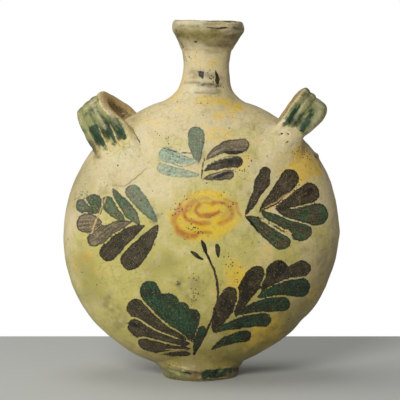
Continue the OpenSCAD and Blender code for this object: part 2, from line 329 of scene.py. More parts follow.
# Lines drawn through the wet glaze with a point
SCRATCHES = [
    ("cream", (205.4, 166.6), (247.0, 155.6), 0.7, 2.8, BLADE),
    ("cream", (204.0, 175.8), (240.0, 168.8), 0.7, 1.8, BLADE),
    ("cream", (163.0, 162.6), (198.0, 169.6), 0.5, 1.6, BLADE),
    ("tan", (107.4, 195.4), (91.0, 233.6), 0.8, -0.8, LINE),
    ("tan", (260.0, 211.0), (298.0, 186.6), 0.9, -1.4, BLADE),
    ("tan", (164.0, 349.6), (192.6, 350.4), 0.6, 0.6, BLADE),
    ("tan", (191.0, 338.6), (189.0, 352.0), 0.6, 0.4, BLADE),
    ("umber", (194.0, 42.0), (198.4, 41.6), 1.1, 0.0, BLADE),
    ("cream", (97.6, 128.0), (109.4, 151.0), 0.8, 0.3, LOBED),
    ("cream", (109.0, 123.0), (119.4, 145.6), 0.9, 0.3, LOBED),
    ("tan", (87.0, 131.0), (99.0, 155.0), 0.8, 0.3, LOBED),
    ("cream", (164.0, 364.2), (191.0, 370.4), 1.0, 1.0, LOBED),
    ("cream", (167.0, 369.6), (180.0, 374.6), 0.6, 0.4, LOBED),
    ("cream", (173.0, 369.4), (186.0, 376.6), 0.4, 0.2, BLADE),
    ("cream", (204.0, 378.4), (229.0, 377.6), 0.7, -0.6, LOBED),
    ("tan", (206.0, 368.2), (232.0, 366.6), 0.7, -0.4, LOBED),
    ("rust", (197.2, 212.6), (204.4, 217.4), 0.8, 0.4, BLADE),
    ("rust", (203.6, 217.6), (219.4, 211.0), 0.9, -1.8, BLADE),
    ("rust", (212.0, 204.0), (226.0, 203.6), 0.7, 0.9, LOBED),
    ("rust", (226.0, 222.0), (236.0, 216.4), 0.6, -0.6, BLADE),
    ("rust", (199.0, 221.6), (212.0, 220.4), 0.5, -0.4, BLADE),
    ("rust", (183.6, 205.6), (186.6, 219.6), 0.7, -0.9, LOBED),
    ("rust", (173.6, 214.0), (178.6, 208.4), 0.8, 0.4, LOBED),
]
COATS = {"leaves": STROKES, "lines": STEM + SEPALS + DARK_MARKS + SCRATCHES}

# Colour that sank into the glaze and has soft edges, and soft painted shade and painted highlights: strength, half
# width, and the points of its line
WASHES = {
    "gold": [
        (0.80, 17.0, (192, 214), (206, 211), (220, 213)),
        (0.70, 8.0, (181, 223), (191, 232), (206, 230), (227, 227)),
        (0.90, 3.6, (192, 196.6), (206, 191.8), (222, 195)),
        (0.95, 4.4, (202, 226.4), (212, 227.8), (222, 226)),
        (0.60, 3.0, (206, 209), (213, 208)),
        (0.55, 4.4, (194, 237), (207, 239), (217, 237)),
        (0.60, 4.4, (221, 222), (234, 226), (237, 219)),
        (0.45, 5.0, (172, 214), (177, 228)),
        (0.35, 4.0, (209, 64), (217, 63)),
        (0.45, 5.0, (198, 100), (211, 102)),
        (0.50, 4.6, (219, 101), (238, 106)),
        (0.35, 4.0, (181, 73), (179, 86), (172, 96)),
        (0.45, 9.0, (232, 268), (242, 280)),
        (0.40, 6.0, (233, 334), (245, 342)),
        (0.35, 6.0, (262, 330), (272, 322)),
        (0.40, 6.0, (238, 165), (246, 158)),
    ],
    "rust": [
        (0.95, 2.3, (200, 205), (195.8, 209.2), (197.4, 214), (203, 216), (212, 214.6), (218, 212)),
        (0.45, 1.3, (199, 204), (206, 202.4), (213, 205)),
        (0.80, 2.1, (213, 202.4), (223, 202.2), (231, 207), (233.2, 213), (229, 219.6), (219, 224.4)),
        (0.80, 2.3, (195, 201.4), (186.6, 207.4), (184, 214), (187.4, 220.6), (198, 223.6), (209, 222.8)),
        (0.75, 3.4, (181, 209), (174.6, 216), (173, 222), (177, 227)),
        (0.90, 3.4, (178.6, 231.6), (186, 236), (195, 235)),
        (0.70, 1.8, (197, 233.6), (205, 232), (211, 233)),
        (0.45, 1.4, (190, 197), (182, 203), (177, 211)),
        (0.55, 1.8, (224, 198), (234, 203), (238, 211), (241, 215)),
        (0.50, 1.6, (189, 211), (192, 205), (199, 200), (208, 198)),
        (0.45, 1.6, (222, 219), (228, 214), (228, 208)),
    ],
    "specks": [
        (0.9, 6.0, (80, 197), (86, 197)),
        (1.0, 6.0, (192, 228), (200, 230)),
        (0.9, 5.0, (174, 212), (182, 206)),
        (0.9, 6.0, (180, 208), (183, 201)),
        (0.8, 9.0, (165, 142), (178, 158)),
        (0.8, 4.0, (186, 50), (188, 59)),
        (1.0, 5.0, (211, 75), (219, 87)),
        (0.6, 8.0, (190, 275), (196, 298)),
        (0.7, 7.0, (231, 205), (228, 196)),
        (0.7, 7.0, (300, 150), (308, 156)),
        (0.6, 8.0, (245, 160), (240, 172)),
        (0.6, 8.0, (228, 262), (240, 282)),
        (0.7, 9.0, (292, 180), (310, 200)),
    ],
    "smoke_and_shade": [
        (0.35, 4.0, (191, 73.6), (205, 74.6), (220, 77)),
        (0.45, 2.6, (187, 82.4), (200, 83.0), (212, 84.4)),
        (0.60, 2.4, (197, 84.4), (209, 86.0), (221, 84.4)),
        (0.30, 4.0, (204, 90.6), (216, 92.4)),
        (0.55, 2.2, (196, 93.6), (206, 95.0), (217, 95.6)),
        (0.35, 5.0, (177, 23), (208, 22), (243, 24)),
        # Painted shade in the dark slit of the left strap's hollow
        (0.90, 2.4, (112, 99), (117, 107), (123, 116)),
        (0.20, 1.4, (65, 258), (71, 285), (84, 308), (97, 327)),
        (0.15, 1.4, (336, 258), (327, 288), (310, 317)),
        (0.95, 3.2, (316, 151), (318, 156)),
        (0.70, 1.6, (84, 137), (92, 148), (99, 158)),
        # Painted shade under the lip, at the right
        (0.50, 7.0, (229, 37), (240, 30)),
        (0.75, 1.3, (175, 29), (177, 35), (181, 42), (183, 48)),
        # Painted shade under the lip's edge and on the flare below it: this line and the next two
        (0.60, 1.6, (212, 29.6), (224, 27.6), (235, 27.4), (243, 31)),
        (0.40, 2.4, (176, 28), (186, 26), (198, 27)),
        (0.40, 6.0, (209, 48), (226, 46)),
        (0.65, 2.2, (178, 283), (179, 283.6)),
        (0.35, 6.0, (176, 280), (182, 285)),
        (0.30, 7.0, (224, 152), (236, 150)),
        (0.55, 5.0, (197, 159), (200, 151)),
        (0.45, 5.0, (152, 214), (156, 219)),
        (0.35, 9.0, (108, 300), (120, 322)),
        (0.30, 8.0, (192, 296), (196, 284)),
        (0.30, 8.0, (318, 240), (322, 262)),
    ],
    "chalk_and_highlight": [
        (0.85, 2.0, (191, 89.5), (194, 93), (195, 96)),
        (0.60, 1.3, (189, 87.4), (204, 88.0), (214, 90)),
        (0.55, 1.5, (205, 91.4), (214, 92.4)),
        (0.80, 1.7, (183, 44.4), (204, 45.4)),
        (0.50, 3.0, (176, 23), (200, 22)),
        # Painted highlight along the right pad's ridge
        (0.85, 1.5, (267, 128.4), (275, 124.4), (284, 121)),
        # Painted highlights on the left strap's rib crests: this line and the next
        (0.35, 1.8, (92, 104), (99, 118), (104, 128)),
        (0.28, 1.8, (103, 100), (111, 114), (116, 124)),
        # Painted highlight of gloss on the left shoulder by the strap's root
        (0.45, 6.0, (142, 131), (132, 152), (112, 162)),
        # Painted highlights on the right strap's ribs: this line and the next
        (0.30, 1.8, (306, 97), (299, 110), (296, 118)),
        (0.35, 3.4, (320, 102), (318, 118), (311, 132)),
    ],
    "pool_and_shade": [
        (0.85, 6.5, (180, 34), (200, 36), (216, 34)),
        (0.50, 4.0, (206, 44), (222, 44)),
        (0.45, 6.0, (222, 42), (236, 40)),
        # Painted shade on the body's left side: this line and the next
        (0.45, 12.0, (84, 262), (92, 292)),
        (0.40, 14.0, (84, 176), (78, 200)),
        (0.35, 8.0, (178, 25), (212, 23)),
        (0.35, 12.0, (152, 268), (166, 262)),
    ],
}


def stroke_width(form, along):
    """Half width of a brush stroke along its length, as a share of that at its tip."""
    along = np.clip(along, 0, 1)
    if form == LINE:
        return np.ones_like(along)
    if form == BLADE:
        return 0.12 + 0.88 * np.sin(np.pi * along ** 0.85) ** 0.75
    wide = 0.10 + 0.90 * np.sin(np.pi / 2 * along ** 0.8)
    if form == LOBED:
        wide = wide * (1 + 0.17 * np.sin(11 * along ** 1.3) * smooth(along, 0.2, 0.5))
    return wide


def line_distance(at, line):
    """Distance from each point to a line of points."""
    near = np.full(len(at), 1e9)
    for a, b in zip(line, line[1:]):
        d = b - a
        t = np.clip((at - a) @ d / (d @ d), 0, 1)
        offset = at - a - t[:, None] * d
        near = np.minimum(near, np.hypot(offset[:, 0], offset[:, 1]))
    return near


def wash_density(at, marks):
    """How much of a soft colour each place has, from 0 to 1."""
    bare = np.ones(len(at))
    for strength, half, *points in marks:
        away = line_distance(at, rounded(points))
        bare *= 1 - strength * np.exp(-(away / half) ** 3)
    return 1 - bare


def paint_coat(piece, name, strokes, seen, at):
    """Writes one coat of strokes on a piece: distance to the paint's edge, colour, and the brush's run."""
    steps = 12
    edge = np.full(len(at), UNPAINTED)
    other = np.full(len(at), UNPAINTED)
    owner = np.full(len(at), -1)
    colour = np.zeros(len(at))
    run = np.zeros((len(at), 3))
    leaf = -1
    for number, (kind, base, tip, half, bend, form) in enumerate(strokes):
        leaf += form != JOINED
        base, tip = np.array(base), np.array(tip)
        across = np.array([tip[1] - base[1], base[0] - tip[0]]) / np.linalg.norm(tip - base)
        s = np.linspace(0, 1, steps + 1)[:, None]
        line = base + (tip - base) * s + across * bend * 4 * s * (1 - s)
        reach = half + 6
        close = np.flatnonzero(seen & (at > line.min(0) - reach).all(1) & (at < line.max(0) + reach).all(1))
        if not len(close):
            continue
        q = at[close]
        best = np.full(len(q), 1e9)
        along, side = np.zeros(len(q)), np.zeros(len(q))
        for i in range(steps):
            a, d = line[i], line[i + 1] - line[i]
            length = np.hypot(*d)
            t = np.clip(((q - a) @ d) / length ** 2, 0, 1)
            offset = q - a - t[:, None] * d
            far = np.hypot(offset[:, 0], offset[:, 1])
            nearer = far < best
            best = np.where(nearer, far, best)
            along = np.where(nearer, (i + t) / steps, along)
            side = np.where(nearer, (offset[:, 0] * d[1] - offset[:, 1] * d[0]) / length, side)
        away = (best - half * stroke_width(form, along)) * PX
        own = owner[close] == leaf
        won = away < edge[close]
        pushed, lost = won & ~own, ~won & ~own
        other[close[pushed]] = edge[close[pushed]]
        other[close[lost]] = np.minimum(other[close[lost]], away[lost])
        index = close[won]
        edge[index] = away[won]
        owner[index] = leaf
        colour[index] = COLOUR_AT[kind]
        run[index] = np.stack([along[won] * np.linalg.norm(tip - base) * PX, side[won] * PX,
            np.full(won.sum(), 7.3 * number)], axis=-1)
    if name == "leaves":
        gap = LEAF_GAP * smooth(run[:, 0], 3, 14)
        edge = np.maximum(edge, gap - 0.6 * (other - edge))
    put(piece, f"{name}_edge", edge)
    put(piece, f"{name}_colour", colour)
    attribute = piece.data.attributes.new(f"{name}_run", "FLOAT_VECTOR", "POINT")
    attribute.data.foreach_set("vector", run.astype(np.float32).ravel())


def put(piece, name, values):
    attribute = piece.data.attributes.new(name, "FLOAT", "POINT")
    attribute.data.foreach_set("value", np.asarray(values, np.float32))


def dress(piece, copper=0.0, deep=0.0, clay=0.0, grime_and_shade=0.0):
    """Writes on a piece what its glaze needs: where it is painted, stained, green, dirty or bare, and where shade and
    highlights are painted on it.
    """
    p = places(piece)
    shaken = [0.8 * noise(p, 8, 60 + axis) + 0.4 * noise(p, 3, 62 + axis) for axis in range(2)]
    at = photo_place(p) + np.stack(shaken, axis=-1)
    seen = (normals(piece)[:, 1] < 0.15) & (body_field(p) > -2.5)
    for name, strokes in COATS.items():
        paint_coat(piece, name, strokes, seen, at)
    bend = 1.3 * np.stack([noise(p, 7, 64), noise(p, 7, 65)], axis=-1)
    dry = np.where(p[:, 2] > 225, noise(p * (0.10, 0.10, 0.75), 1.0, 66), noise(p, 3.4, 66))
    dry = np.clip(0.85 + 1.3 * dry + 0.5 * noise(p, 1.6, 67), 0, 1.3)
    for name, marks in WASHES.items():
        put(piece, name, wash_density(at + bend, marks) * seen * (dry if name == "smoke_and_shade" else 1))
    x, z = p[:, 0], p[:, 2]
    front = smooth(-p[:, 1], -10, 25)
    # Yellow-green glaze; the mound at (-80, 95) is painted shade on the left, and the last term lightens the far-left
    # edge as a painted highlight
    yellow_green_and_painted_light = (1.15 * bump(x, z, (-12, 88), 120) + 0.6 * bump(x, z, (-80, 95), 60)
        - 0.5 * smooth(z, 185, 250) - 0.35 * smooth(-x, 85, 112))
    # Ochre stains; the mound at (-92, 100) is painted shade on the left
    stain_and_painted_shade = (1.3 * bump(x, z, (84, 176), 28) + 0.8 * bump(x, z, (29, 84), 22) + 0.6 * bump(x, z, (20, 222), 24)
        + 0.9 * bump(x, z, (52, 40), 30) + 0.6 * bump(x, z, (95, 70), 30) + 0.5 * bump(x, z, (58, 130), 40)
        + 0.45 * bump(x, z, (-92, 100), 30) + 0.4 * bump(x, z, (30, 180), 30)) * front
    put(piece, "yellow_green_and_painted_light", yellow_green_and_painted_light)
    put(piece, "stain_and_painted_shade", stain_and_painted_shade + 0.25 * noise(p, 30, 21))
    # Painted shade: darker and browner towards the bottom and the right, away from the light, over a brownish patina
    # there
    put(piece, "olive_patina_and_shade", smooth((0.5 * x - 0.95 * (z - CENTRE_Z)) / BODY_R, 0.05, 1.1))
    for name, values in (("copper", copper), ("deep", deep), ("clay", clay), ("grime_and_shade", grime_and_shade)):
        put(piece, name, np.broadcast_to(values, (len(p),)))


def link(tree, value, socket):
    if isinstance(value, bpy.types.NodeSocket):
        tree.links.new(value, socket)
    else:
        socket.default_value = value


def node(tree, kind, inputs=None, **settings):
    made = tree.nodes.new(kind)
    for name, value in settings.items():
        setattr(made, name, value)
    for name, value in (inputs or {}).items():
        link(tree, value, made.inputs[name])
    return made


def calc(tree, operation, a, b=0.0, c=0.0):
    return node(tree, "ShaderNodeMath", {0: a, 1: b, 2: c}, operation=operation).outputs[0]


def ramp(tree, value, low, high, to_low=0.0, to_high=1.0):
    """Maps low..high smoothly onto to_low..to_high."""
    made = node(tree, "ShaderNodeMapRange", {"Value": value, "From Min": low, "From Max": high,
        "To Min": to_low, "To Max": to_high}, interpolation_type="SMOOTHSTEP")
    return made.outputs["Result"]


def mix(tree, share, a, b, blend="MIX"):
    made = node(tree, "ShaderNodeMix", {"Factor": share}, data_type="RGBA", blend_type=blend)
    for name, value in (("A", a), ("B", b)):
        socket = [s for s in made.inputs if s.name == name and s.type == "RGBA"][0]
        link(tree, value if isinstance(value, bpy.types.NodeSocket) else (*value, 1.0), socket)
    return [s for s in made.outputs if s.type == "RGBA"][0]


def attribute(tree, name, output="Fac"):
    return node(tree, "ShaderNodeAttribute", attribute_name=name).outputs[output]


def grain(tree, place, scale, detail=3.0, roughness=0.55, distortion=0.0):
    """Noise from about 0 to 1 over a place in millimetres, with lumps 1 / scale mm across."""
    return node(tree, "ShaderNodeTexNoise", {"Vector": place, "Scale": scale, "Detail": detail,
        "Roughness": roughness, "Distortion": distortion}).outputs["Fac"]


def in_mm(tree):
    place = node(tree, "ShaderNodeTexCoord").outputs["Object"]
    return node(tree, "ShaderNodeMapping", {"Vector": place, "Scale": (1 / MM,) * 3}).outputs["Vector"]


def new_material(name):
    material = bpy.data.materials.new(name)
    material.use_nodes = True
    tree = material.node_tree
    shader = tree.nodes["Principled BSDF"]
    return material, tree, shader


def colour_ramp(tree, value, which):
    """The brush colours along one ramp: which is 0 for the colours, 1 for their patches."""
    made = node(tree, "ShaderNodeValToRGB", {"Fac": value})
    stops = made.color_ramp.elements
    for _ in range(len(COLOURS) - 2):
        stops.new(0.5)
    for stop, (key, colours) in zip(stops, COLOURS.items()):
        stop.position = COLOUR_AT[key]
        stop.color = (*colours[which], 1.0)
    return made.outputs["Color"]


def scaled(tree, colour, share):
    return node(tree, "ShaderNodeVectorMath", {0: colour, "Scale": share}, operation="SCALE").outputs["Vector"]


def coat_nodes(tree, name, place, under, fine, outlined=True):
    """Lays one coat of brush strokes over a colour, and gives the new colour and the paint's cover."""
    fray = calc(tree, "ADD", ramp(tree, grain(tree, place, 0.45, 3.0), 0.25, 0.75, -0.35, 0.35),
        ramp(tree, fine, 0.3, 0.7, -0.10, 0.10))
    away = calc(tree, "ADD", attribute(tree, f"{name}_edge"), fray if outlined else calc(tree, "MULTIPLY", fray, 0.6))
    body = ramp(tree, away, 0.3, -0.25)
    run = attribute(tree, f"{name}_run", "Vector")
    stretched = node(tree, "ShaderNodeMapping", {"Vector": run, "Scale": (0.08, 1.0, 1.0)}).outputs["Vector"]
    streak = grain(tree, stretched, 1.0, 3.0, 0.6)
    kind = attribute(tree, f"{name}_colour")
    patch = ramp(tree, calc(tree, "ADD", grain(tree, place, 0.10, 3.0, 0.6), calc(tree, "MULTIPLY", streak, 0.25)), 0.56, 0.72)
    colour = mix(tree, patch, colour_ramp(tree, kind, 0), colour_ramp(tree, kind, 1))
    strength = ramp(tree, kind, COLOUR_AT["pale"], COLOUR_AT["green"], 0.25, 1.0)
    lined = calc(tree, "MULTIPLY", ramp(tree, streak, 0.32, 0.68, 0.65, -0.55), strength)
    colour = scaled(tree, colour, calc(tree, "ADD", lined, 1.0))
    colour = scaled(tree, colour, ramp(tree, fine, 0.3, 0.72, 0.75, 1.25))
    cover = body
    if outlined:
        edge = ramp(tree, calc(tree, "ABSOLUTE", calc(tree, "ADD", away, 0.75)), 0.95, 0.15)
        edge = calc(tree, "MULTIPLY", calc(tree, "MULTIPLY", edge, 0.65), strength)
        colour = mix(tree, edge, colour, (0.028, 0.021, 0.012))
        spots = ramp(tree, grain(tree, place, 0.42, 4.0, 0.7), 0.585, 0.65)
        colour = mix(tree, calc(tree, "MULTIPLY", spots, 0.75), colour, (0.022, 0.016, 0.01))
        worn = ramp(tree, calc(tree, "ADD", grain(tree, place, 1.1, 3.0, 0.75), calc(tree, "MULTIPLY", streak, 0.3)),
            0.73, 0.86, 0.0, 0.7)
        cover = calc(tree, "MULTIPLY", body, calc(tree, "SUBTRACT", 1.0, worn))
    return mix(tree, cover, under, colour), body


def glaze_material():
    """Old tin glaze over earthenware, with everything that was brushed, spilt and worn on it."""
    material, tree, shader = new_material("painted_glaze")
    place = in_mm(tree)
    broad = grain(tree, place, 0.028, 4.0, 0.6)
    cloudy = grain(tree, place, 0.085, 5.0, 0.62)
    fine = grain(tree, place, 0.6, 5.0, 0.65)
    patchy = grain(tree, place, 0.17, 5.0, 0.68)
    # Yellow-green glaze, with painted shade and a painted highlight on the body's left
    greenish_and_painted_light = calc(tree, "ADD", attribute(tree, "yellow_green_and_painted_light"), ramp(tree, broad, 0.3, 0.7, -0.35, 0.5))
    colour = mix(tree, ramp(tree, greenish_and_painted_light, 0.0, 0.9), (0.70, 0.585, 0.335), (0.59, 0.52, 0.155))
    colour = mix(tree, ramp(tree, cloudy, 0.50, 0.74, 0.0, 0.75), colour, (0.79, 0.69, 0.43))
    colour = mix(tree, ramp(tree, cloudy, 0.47, 0.25, 0.0, 0.75), colour, (0.41, 0.35, 0.115))
    colour = mix(tree, ramp(tree, patchy, 0.54, 0.70, 0.0, 0.5), colour, (0.64, 0.49, 0.17))
    colour = mix(tree, ramp(tree, patchy, 0.44, 0.28, 0.0, 0.5), colour, (0.44, 0.38, 0.15))
    # Brownish patina, and painted shade, towards the bottom and the right
    patina_and_shade = calc(tree, "MULTIPLY", attribute(tree, "olive_patina_and_shade"), ramp(tree, cloudy, 0.25, 0.75, 0.95, 0.5))
    colour = mix(tree, patina_and_shade, colour, (0.37, 0.275, 0.055))
    # Ochre stains, which on the body's left side are painted shade
    ochre_and_painted_shade = calc(tree, "ADD", attribute(tree, "stain_and_painted_shade"), ramp(tree, cloudy, 0.3, 0.75, -0.6, 0.4))
    colour = mix(tree, ramp(tree, ochre_and_painted_shade, 0.05, 0.9, 0.0, 0.85), colour, (0.80, 0.52, 0.07))
    dirt = ramp(tree, grain(tree, place, 0.38, 5.0, 0.7), 0.56, 0.72, 0.0, 0.55)
    near_leaf = ramp(tree, attribute(tree, "leaves_edge"), 3.5, 0.3, 0.25, 1.0)
    colour = mix(tree, calc(tree, "MULTIPLY", dirt, near_leaf), colour, (0.27, 0.20, 0.075))

    sunk = calc(tree, "MULTIPLY", ramp(tree, fine, 0.25, 0.75, 0.72, 1.25), ramp(tree, patchy, 0.3, 0.66, 0.65, 1.25))
    # Pooled glaze, which on the body's left side is painted shade, then gold and rust stains
    for name, tint in (("pool_and_shade", (0.25, 0.215, 0.045)), ("gold", (0.80, 0.54, 0.03)), ("rust", (0.50, 0.17, 0.02))):
        thick = calc(tree, "MINIMUM", calc(tree, "MULTIPLY", attribute(tree, name), sunk), 1.0)
        colour = mix(tree, thick, colour, tint)

    green = calc(tree, "ADD", attribute(tree, "copper"), ramp(tree, fine, 0.3, 0.7, -0.3, 0.3))
    wet = calc(tree, "ADD", attribute(tree, "deep"), ramp(tree, cloudy, 0.35, 0.65, -0.3, 0.3))
    copper = mix(tree, ramp(tree, wet, 0.1, 0.9), (0.29, 0.295, 0.11), (0.022, 0.062, 0.028))
    colour = mix(tree, ramp(tree, green, 0.15, 0.75), colour, copper)
    # Chalk-white marks, some of them painted highlights, and smoke-grey smears, some of them painted shade
    for name, tint in (("chalk_and_highlight", (0.72, 0.65, 0.44)), ("smoke_and_shade", (0.13, 0.10, 0.065))):
        thick = calc(tree, "MINIMUM", calc(tree, "MULTIPLY", attribute(tree, name), sunk), 1.0)
        colour = mix(tree, thick, colour, tint)
    colour, painted = coat_nodes(tree, "leaves", place, colour, fine)
    colour, _ = coat_nodes(tree, "lines", place, colour, fine, outlined=False)
    # Painted shade: darkens the colour towards the bottom and the right, down to 0.62 of it
    colour = scaled(tree, colour, ramp(tree, attribute(tree, "olive_patina_and_shade"), 0.15, 1.0, 1.0, 0.62))

    # Dirt, and painted shade under the lip, inside the neck, on the straps' inner faces and where the foot meets the
    # floor
    soil_and_shade = calc(tree, "MULTIPLY", attribute(tree, "grime_and_shade"), ramp(tree, cloudy, 0.25, 0.7, 0.45, 1.0))
    colour = mix(tree, soil_and_shade, colour, (0.13, 0.085, 0.035))
    bare = ramp(tree, calc(tree, "ADD", attribute(tree, "clay"), ramp(tree, fine, 0.3, 0.7, -0.3, 0.3)), 0.35, 0.65)
    colour = mix(tree, bare, colour, mix(tree, fine, (0.34, 0.225, 0.085), (0.60, 0.45, 0.21)))

    pits = node(tree, "ShaderNodeTexVoronoi", {"Vector": place, "Scale": 0.17, "Randomness": 1.0})
    lot = node(tree, "ShaderNodeSeparateColor", {"Color": pits.outputs["Color"]}).outputs
    size = ramp(tree, lot[1], 0.0, 1.0, 0.05, 0.12)
    pit = calc(tree, "LESS_THAN", pits.outputs["Distance"], size)
    pit = calc(tree, "MULTIPLY", pit, calc(tree, "GREATER_THAN", lot[0], 0.66))
    specks = node(tree, "ShaderNodeTexVoronoi", {"Vector": place, "Scale": 0.55, "Randomness": 1.0})
    chance = node(tree, "ShaderNodeSeparateColor", {"Color": specks.outputs["Color"]}).outputs[0]
    chance = calc(tree, "GREATER_THAN", calc(tree, "ADD", chance, calc(tree, "MULTIPLY", attribute(tree, "specks"), 0.6)), 0.985)
    speck = calc(tree, "MULTIPLY", calc(tree, "LESS_THAN", specks.outputs["Distance"],
        calc(tree, "MULTIPLY_ADD", attribute(tree, "specks"), 0.16, 0.24)), chance)
    pit = calc(tree, "MAXIMUM", pit, speck)
    colour = mix(tree, calc(tree, "MULTIPLY", pit, 0.8), colour, (0.055, 0.035, 0.018))

    wavy = node(tree, "ShaderNodeVectorMath", {0: place, 1: scaled(tree, node(tree, "ShaderNodeTexNoise",
        {"Vector": place, "Scale": 0.12, "Detail": 2.0}).outputs["Color"], 7.0)}, operation="ADD").outputs["Vector"]
    craze = node(tree, "ShaderNodeTexVoronoi", {"Vector": wavy, "Scale": 0.13}, feature="DISTANCE_TO_EDGE")
    crack = calc(tree, "MULTIPLY", ramp(tree, craze.outputs["Distance"], 0.026, 0.0), ramp(tree, broad, 0.44, 0.60, 0.0, 0.55))
    colour = mix(tree, crack, colour, (0.24, 0.16, 0.06))
    colour = scaled(tree, colour, ramp(tree, fine, 0.25, 0.75, 0.90, 1.08))
    tree.links.new(colour, shader.inputs["Base Color"])
    rough = calc(tree, "ADD", ramp(tree, cloudy, 0.3, 0.7, 0.34, 0.52), calc(tree, "MULTIPLY", bare, 0.35))
    tree.links.new(rough, shader.inputs["Roughness"])
    shader.inputs["Specular IOR Level"].default_value = 0.28
    shader.inputs["Coat Weight"].default_value = 0.06
    shader.inputs["Coat Roughness"].default_value = 0.3
    height = calc(tree, "ADD", calc(tree, "MULTIPLY", fine, 0.17), calc(tree, "MULTIPLY", pit, -0.35))
    height = calc(tree, "ADD", height, calc(tree, "MULTIPLY", painted, 0.07))
    height = calc(tree, "SUBTRACT", height, calc(tree, "MULTIPLY", crack, 0.16))
    height = calc(tree, "ADD", height, calc(tree, "MULTIPLY", patchy, 0.9))
    raised = node(tree, "ShaderNodeBump", {"Height": height, "Strength": 0.8, "Distance": MM})
    tree.links.new(raised.outputs["Normal"], shader.inputs["Normal"])
    return material


def clay_material():
    """Bare buff clay, for the coil inside the seam."""
    material, tree, shader = new_material("bare_clay")
    place = in_mm(tree)
    fine = grain(tree, place, 0.5, 5.0, 0.65)
    tree.links.new(mix(tree, fine, (0.36, 0.21, 0.11), (0.62, 0.43, 0.25)), shader.inputs["Base Color"])
    shader.inputs["Roughness"].default_value = 0.85
    raised = node(tree, "ShaderNodeBump", {"Height": fine, "Strength": 0.6, "Distance": MM})
    tree.links.new(raised.outputs["Normal"], shader.inputs["Normal"])
    return material


def cut(piece, tool):
    """Takes the tool's solid out of the piece."""
    modifier = piece.modifiers.new("cut", "BOOLEAN")
    modifier.operation = "DIFFERENCE"
    modifier.solver = "MANIFOLD"
    modifier.object = tool
    evaluated = piece.evaluated_get(bpy.context.evaluated_depsgraph_get())
    mesh = bpy.data.meshes.new_from_object(evaluated)
    piece.modifiers.clear()
    old, piece.data = piece.data, mesh
    mesh.name = piece.name
    bpy.data.meshes.remove(old)
    bpy.data.objects.remove(tool)


def relieved(field, lo, hi, voxel, extra=None):
    """A field's surface, moved by the hand-made relief."""
    points, faces = surface(field, lo, hi, voxel)
    out = relief(points)
    if extra is not None:
        out = out + extra(points)
    return points + slope(field, points) * out[:, None], faces


def body_marks(p):
    """Lumps and dents at places of the photograph, in mm outwards."""
    at = photo_place(p)
    near_front = p[:, 1] < 12
    marks = [((179.0, 283.0), 3.0, -0.5), ((325.0, 275.0), 9.0, -0.8),
        ((337.5, 232.0), 6.0, 0.7), ((300.0, 320.0), 9.0, -0.9), ((80.0, 285.0), 10.0, 0.5)]
    total = np.zeros(len(p))
    for place, size, out in marks:
        total += out * np.exp(-((at - place) ** 2).sum(1) / size ** 2)
    return total * near_front + 2.4 * edge_chip(p)


def edge_chip(p):
    """A lump of clay stuck to the body's edge, near the right handle: 1 at its middle."""
    away = ((photo_place(p) - (317.5, 155.0)) ** 2).sum(1) / 3.4 ** 2
    return np.exp(-away - ((p[:, 1] + 8) / 6) ** 2)


def make_body():
    """The two thrown shells under one glaze, hollow, and pierced for the neck."""
    reach = BODY_R + 5
    lo = (-reach, -HALF_DEPTH - 4, CENTRE_Z - reach)
    hi = (reach, HALF_DEPTH + 4, CENTRE_Z + reach)
    body = make_object("glazed_body", *relieved(body_field, lo, hi, 1.15, body_marks))
    inside = make_object("inside", *surface(lambda p: body_field(p, 0) + WALL, lo, hi, 3.0))
    cut(body, inside)
    turns = 64
    angle = np.arange(turns) * 2 * np.pi / turns
    ring = np.stack([NECK_X + BORE_R * np.cos(angle), BORE_R * np.sin(angle)], axis=-1)
    low = np.column_stack([ring, np.full(turns, CENTRE_Z + 60)])
    high = np.column_stack([ring, np.full(turns, CENTRE_Z + BODY_R + 20)])
    around = [(i, (i + 1) % turns, turns + (i + 1) % turns, turns + i) for i in range(turns)]
    mesh = bpy.data.meshes.new("bore")
    mesh.from_pydata((np.vstack([low, high]) * MM).tolist(), [],
        around + [tuple(range(turns))[::-1], tuple(range(turns, 2 * turns))])
    bore = bpy.data.objects.new("bore", mesh)
    bpy.context.scene.collection.objects.link(bore)
    cut(body, bore)
    body.data.shade_smooth()
    return body


# The neck and mouth in section, from the root up the outside, over the lip and down the funnel
NECK_OUTSIDE = [(19.6, 196), (19.6, 236), (19.3, 243), (18.5, 250), (18.2, 254), (18.7, 259), (19.3, 263),
    (19.9, 266.4), (20.8, 267.2), (21.5, 269), (23.0, 271.8), (24.7, 275), (26.5, 278.3), (28.2, 280.6),
    (28.9, 282.4), (29.0, 285.6), (28.6, 288.2), (27.3, 289.7), (25.6, 290.0)]
NECK_INSIDE = [(24.2, 289.3), (23.0, 287.2), (21.8, 283.5), (19.0, 278.5), (15.6, 272.0), (12.8, 267.2),
    (12.0, 262.0), (12.0, 196)]
NECK_LEAN = 0.058


def neck_axis(z):
    return NECK_X - 0.9 + NECK_LEAN * (z - 236)


def sunk_body(p, away, near, far):
    """The body's face, let down out of sight where away grows from near to far."""
    return body_field(p) + 1.1 * smooth(away, near, far)


def trimmed(field, p, away, far, depth=4.5):
    """Keeps a field's solid within far mm and down to depth mm under the body's face."""
    return np.maximum(np.maximum(field, away - far), -body_field(p) - depth)


def neck_field(p):
    x, y, z = p[..., 0] - neck_axis(p[..., 2]), p[..., 1], p[..., 2]
    r = np.hypot(x, y)
    turn = np.arctan2(y, x)
    outline = np.vstack([rounded(NECK_OUTSIDE), rounded(NECK_INSIDE)])
    r = r - 0.35 * np.sin(2 * turn + 0.6) * smooth(z, 240, 280)
    tube = outline_distance(r, z + 0.75 * np.sin(turn + 2.0) * smooth(z, 262, 275), outline)
    solid = smooth_min(tube, sunk_body(p, r, 31, 41), 17)
    solid = trimmed(solid, p, r, 43)
    return np.maximum(solid, BORE_R - r)


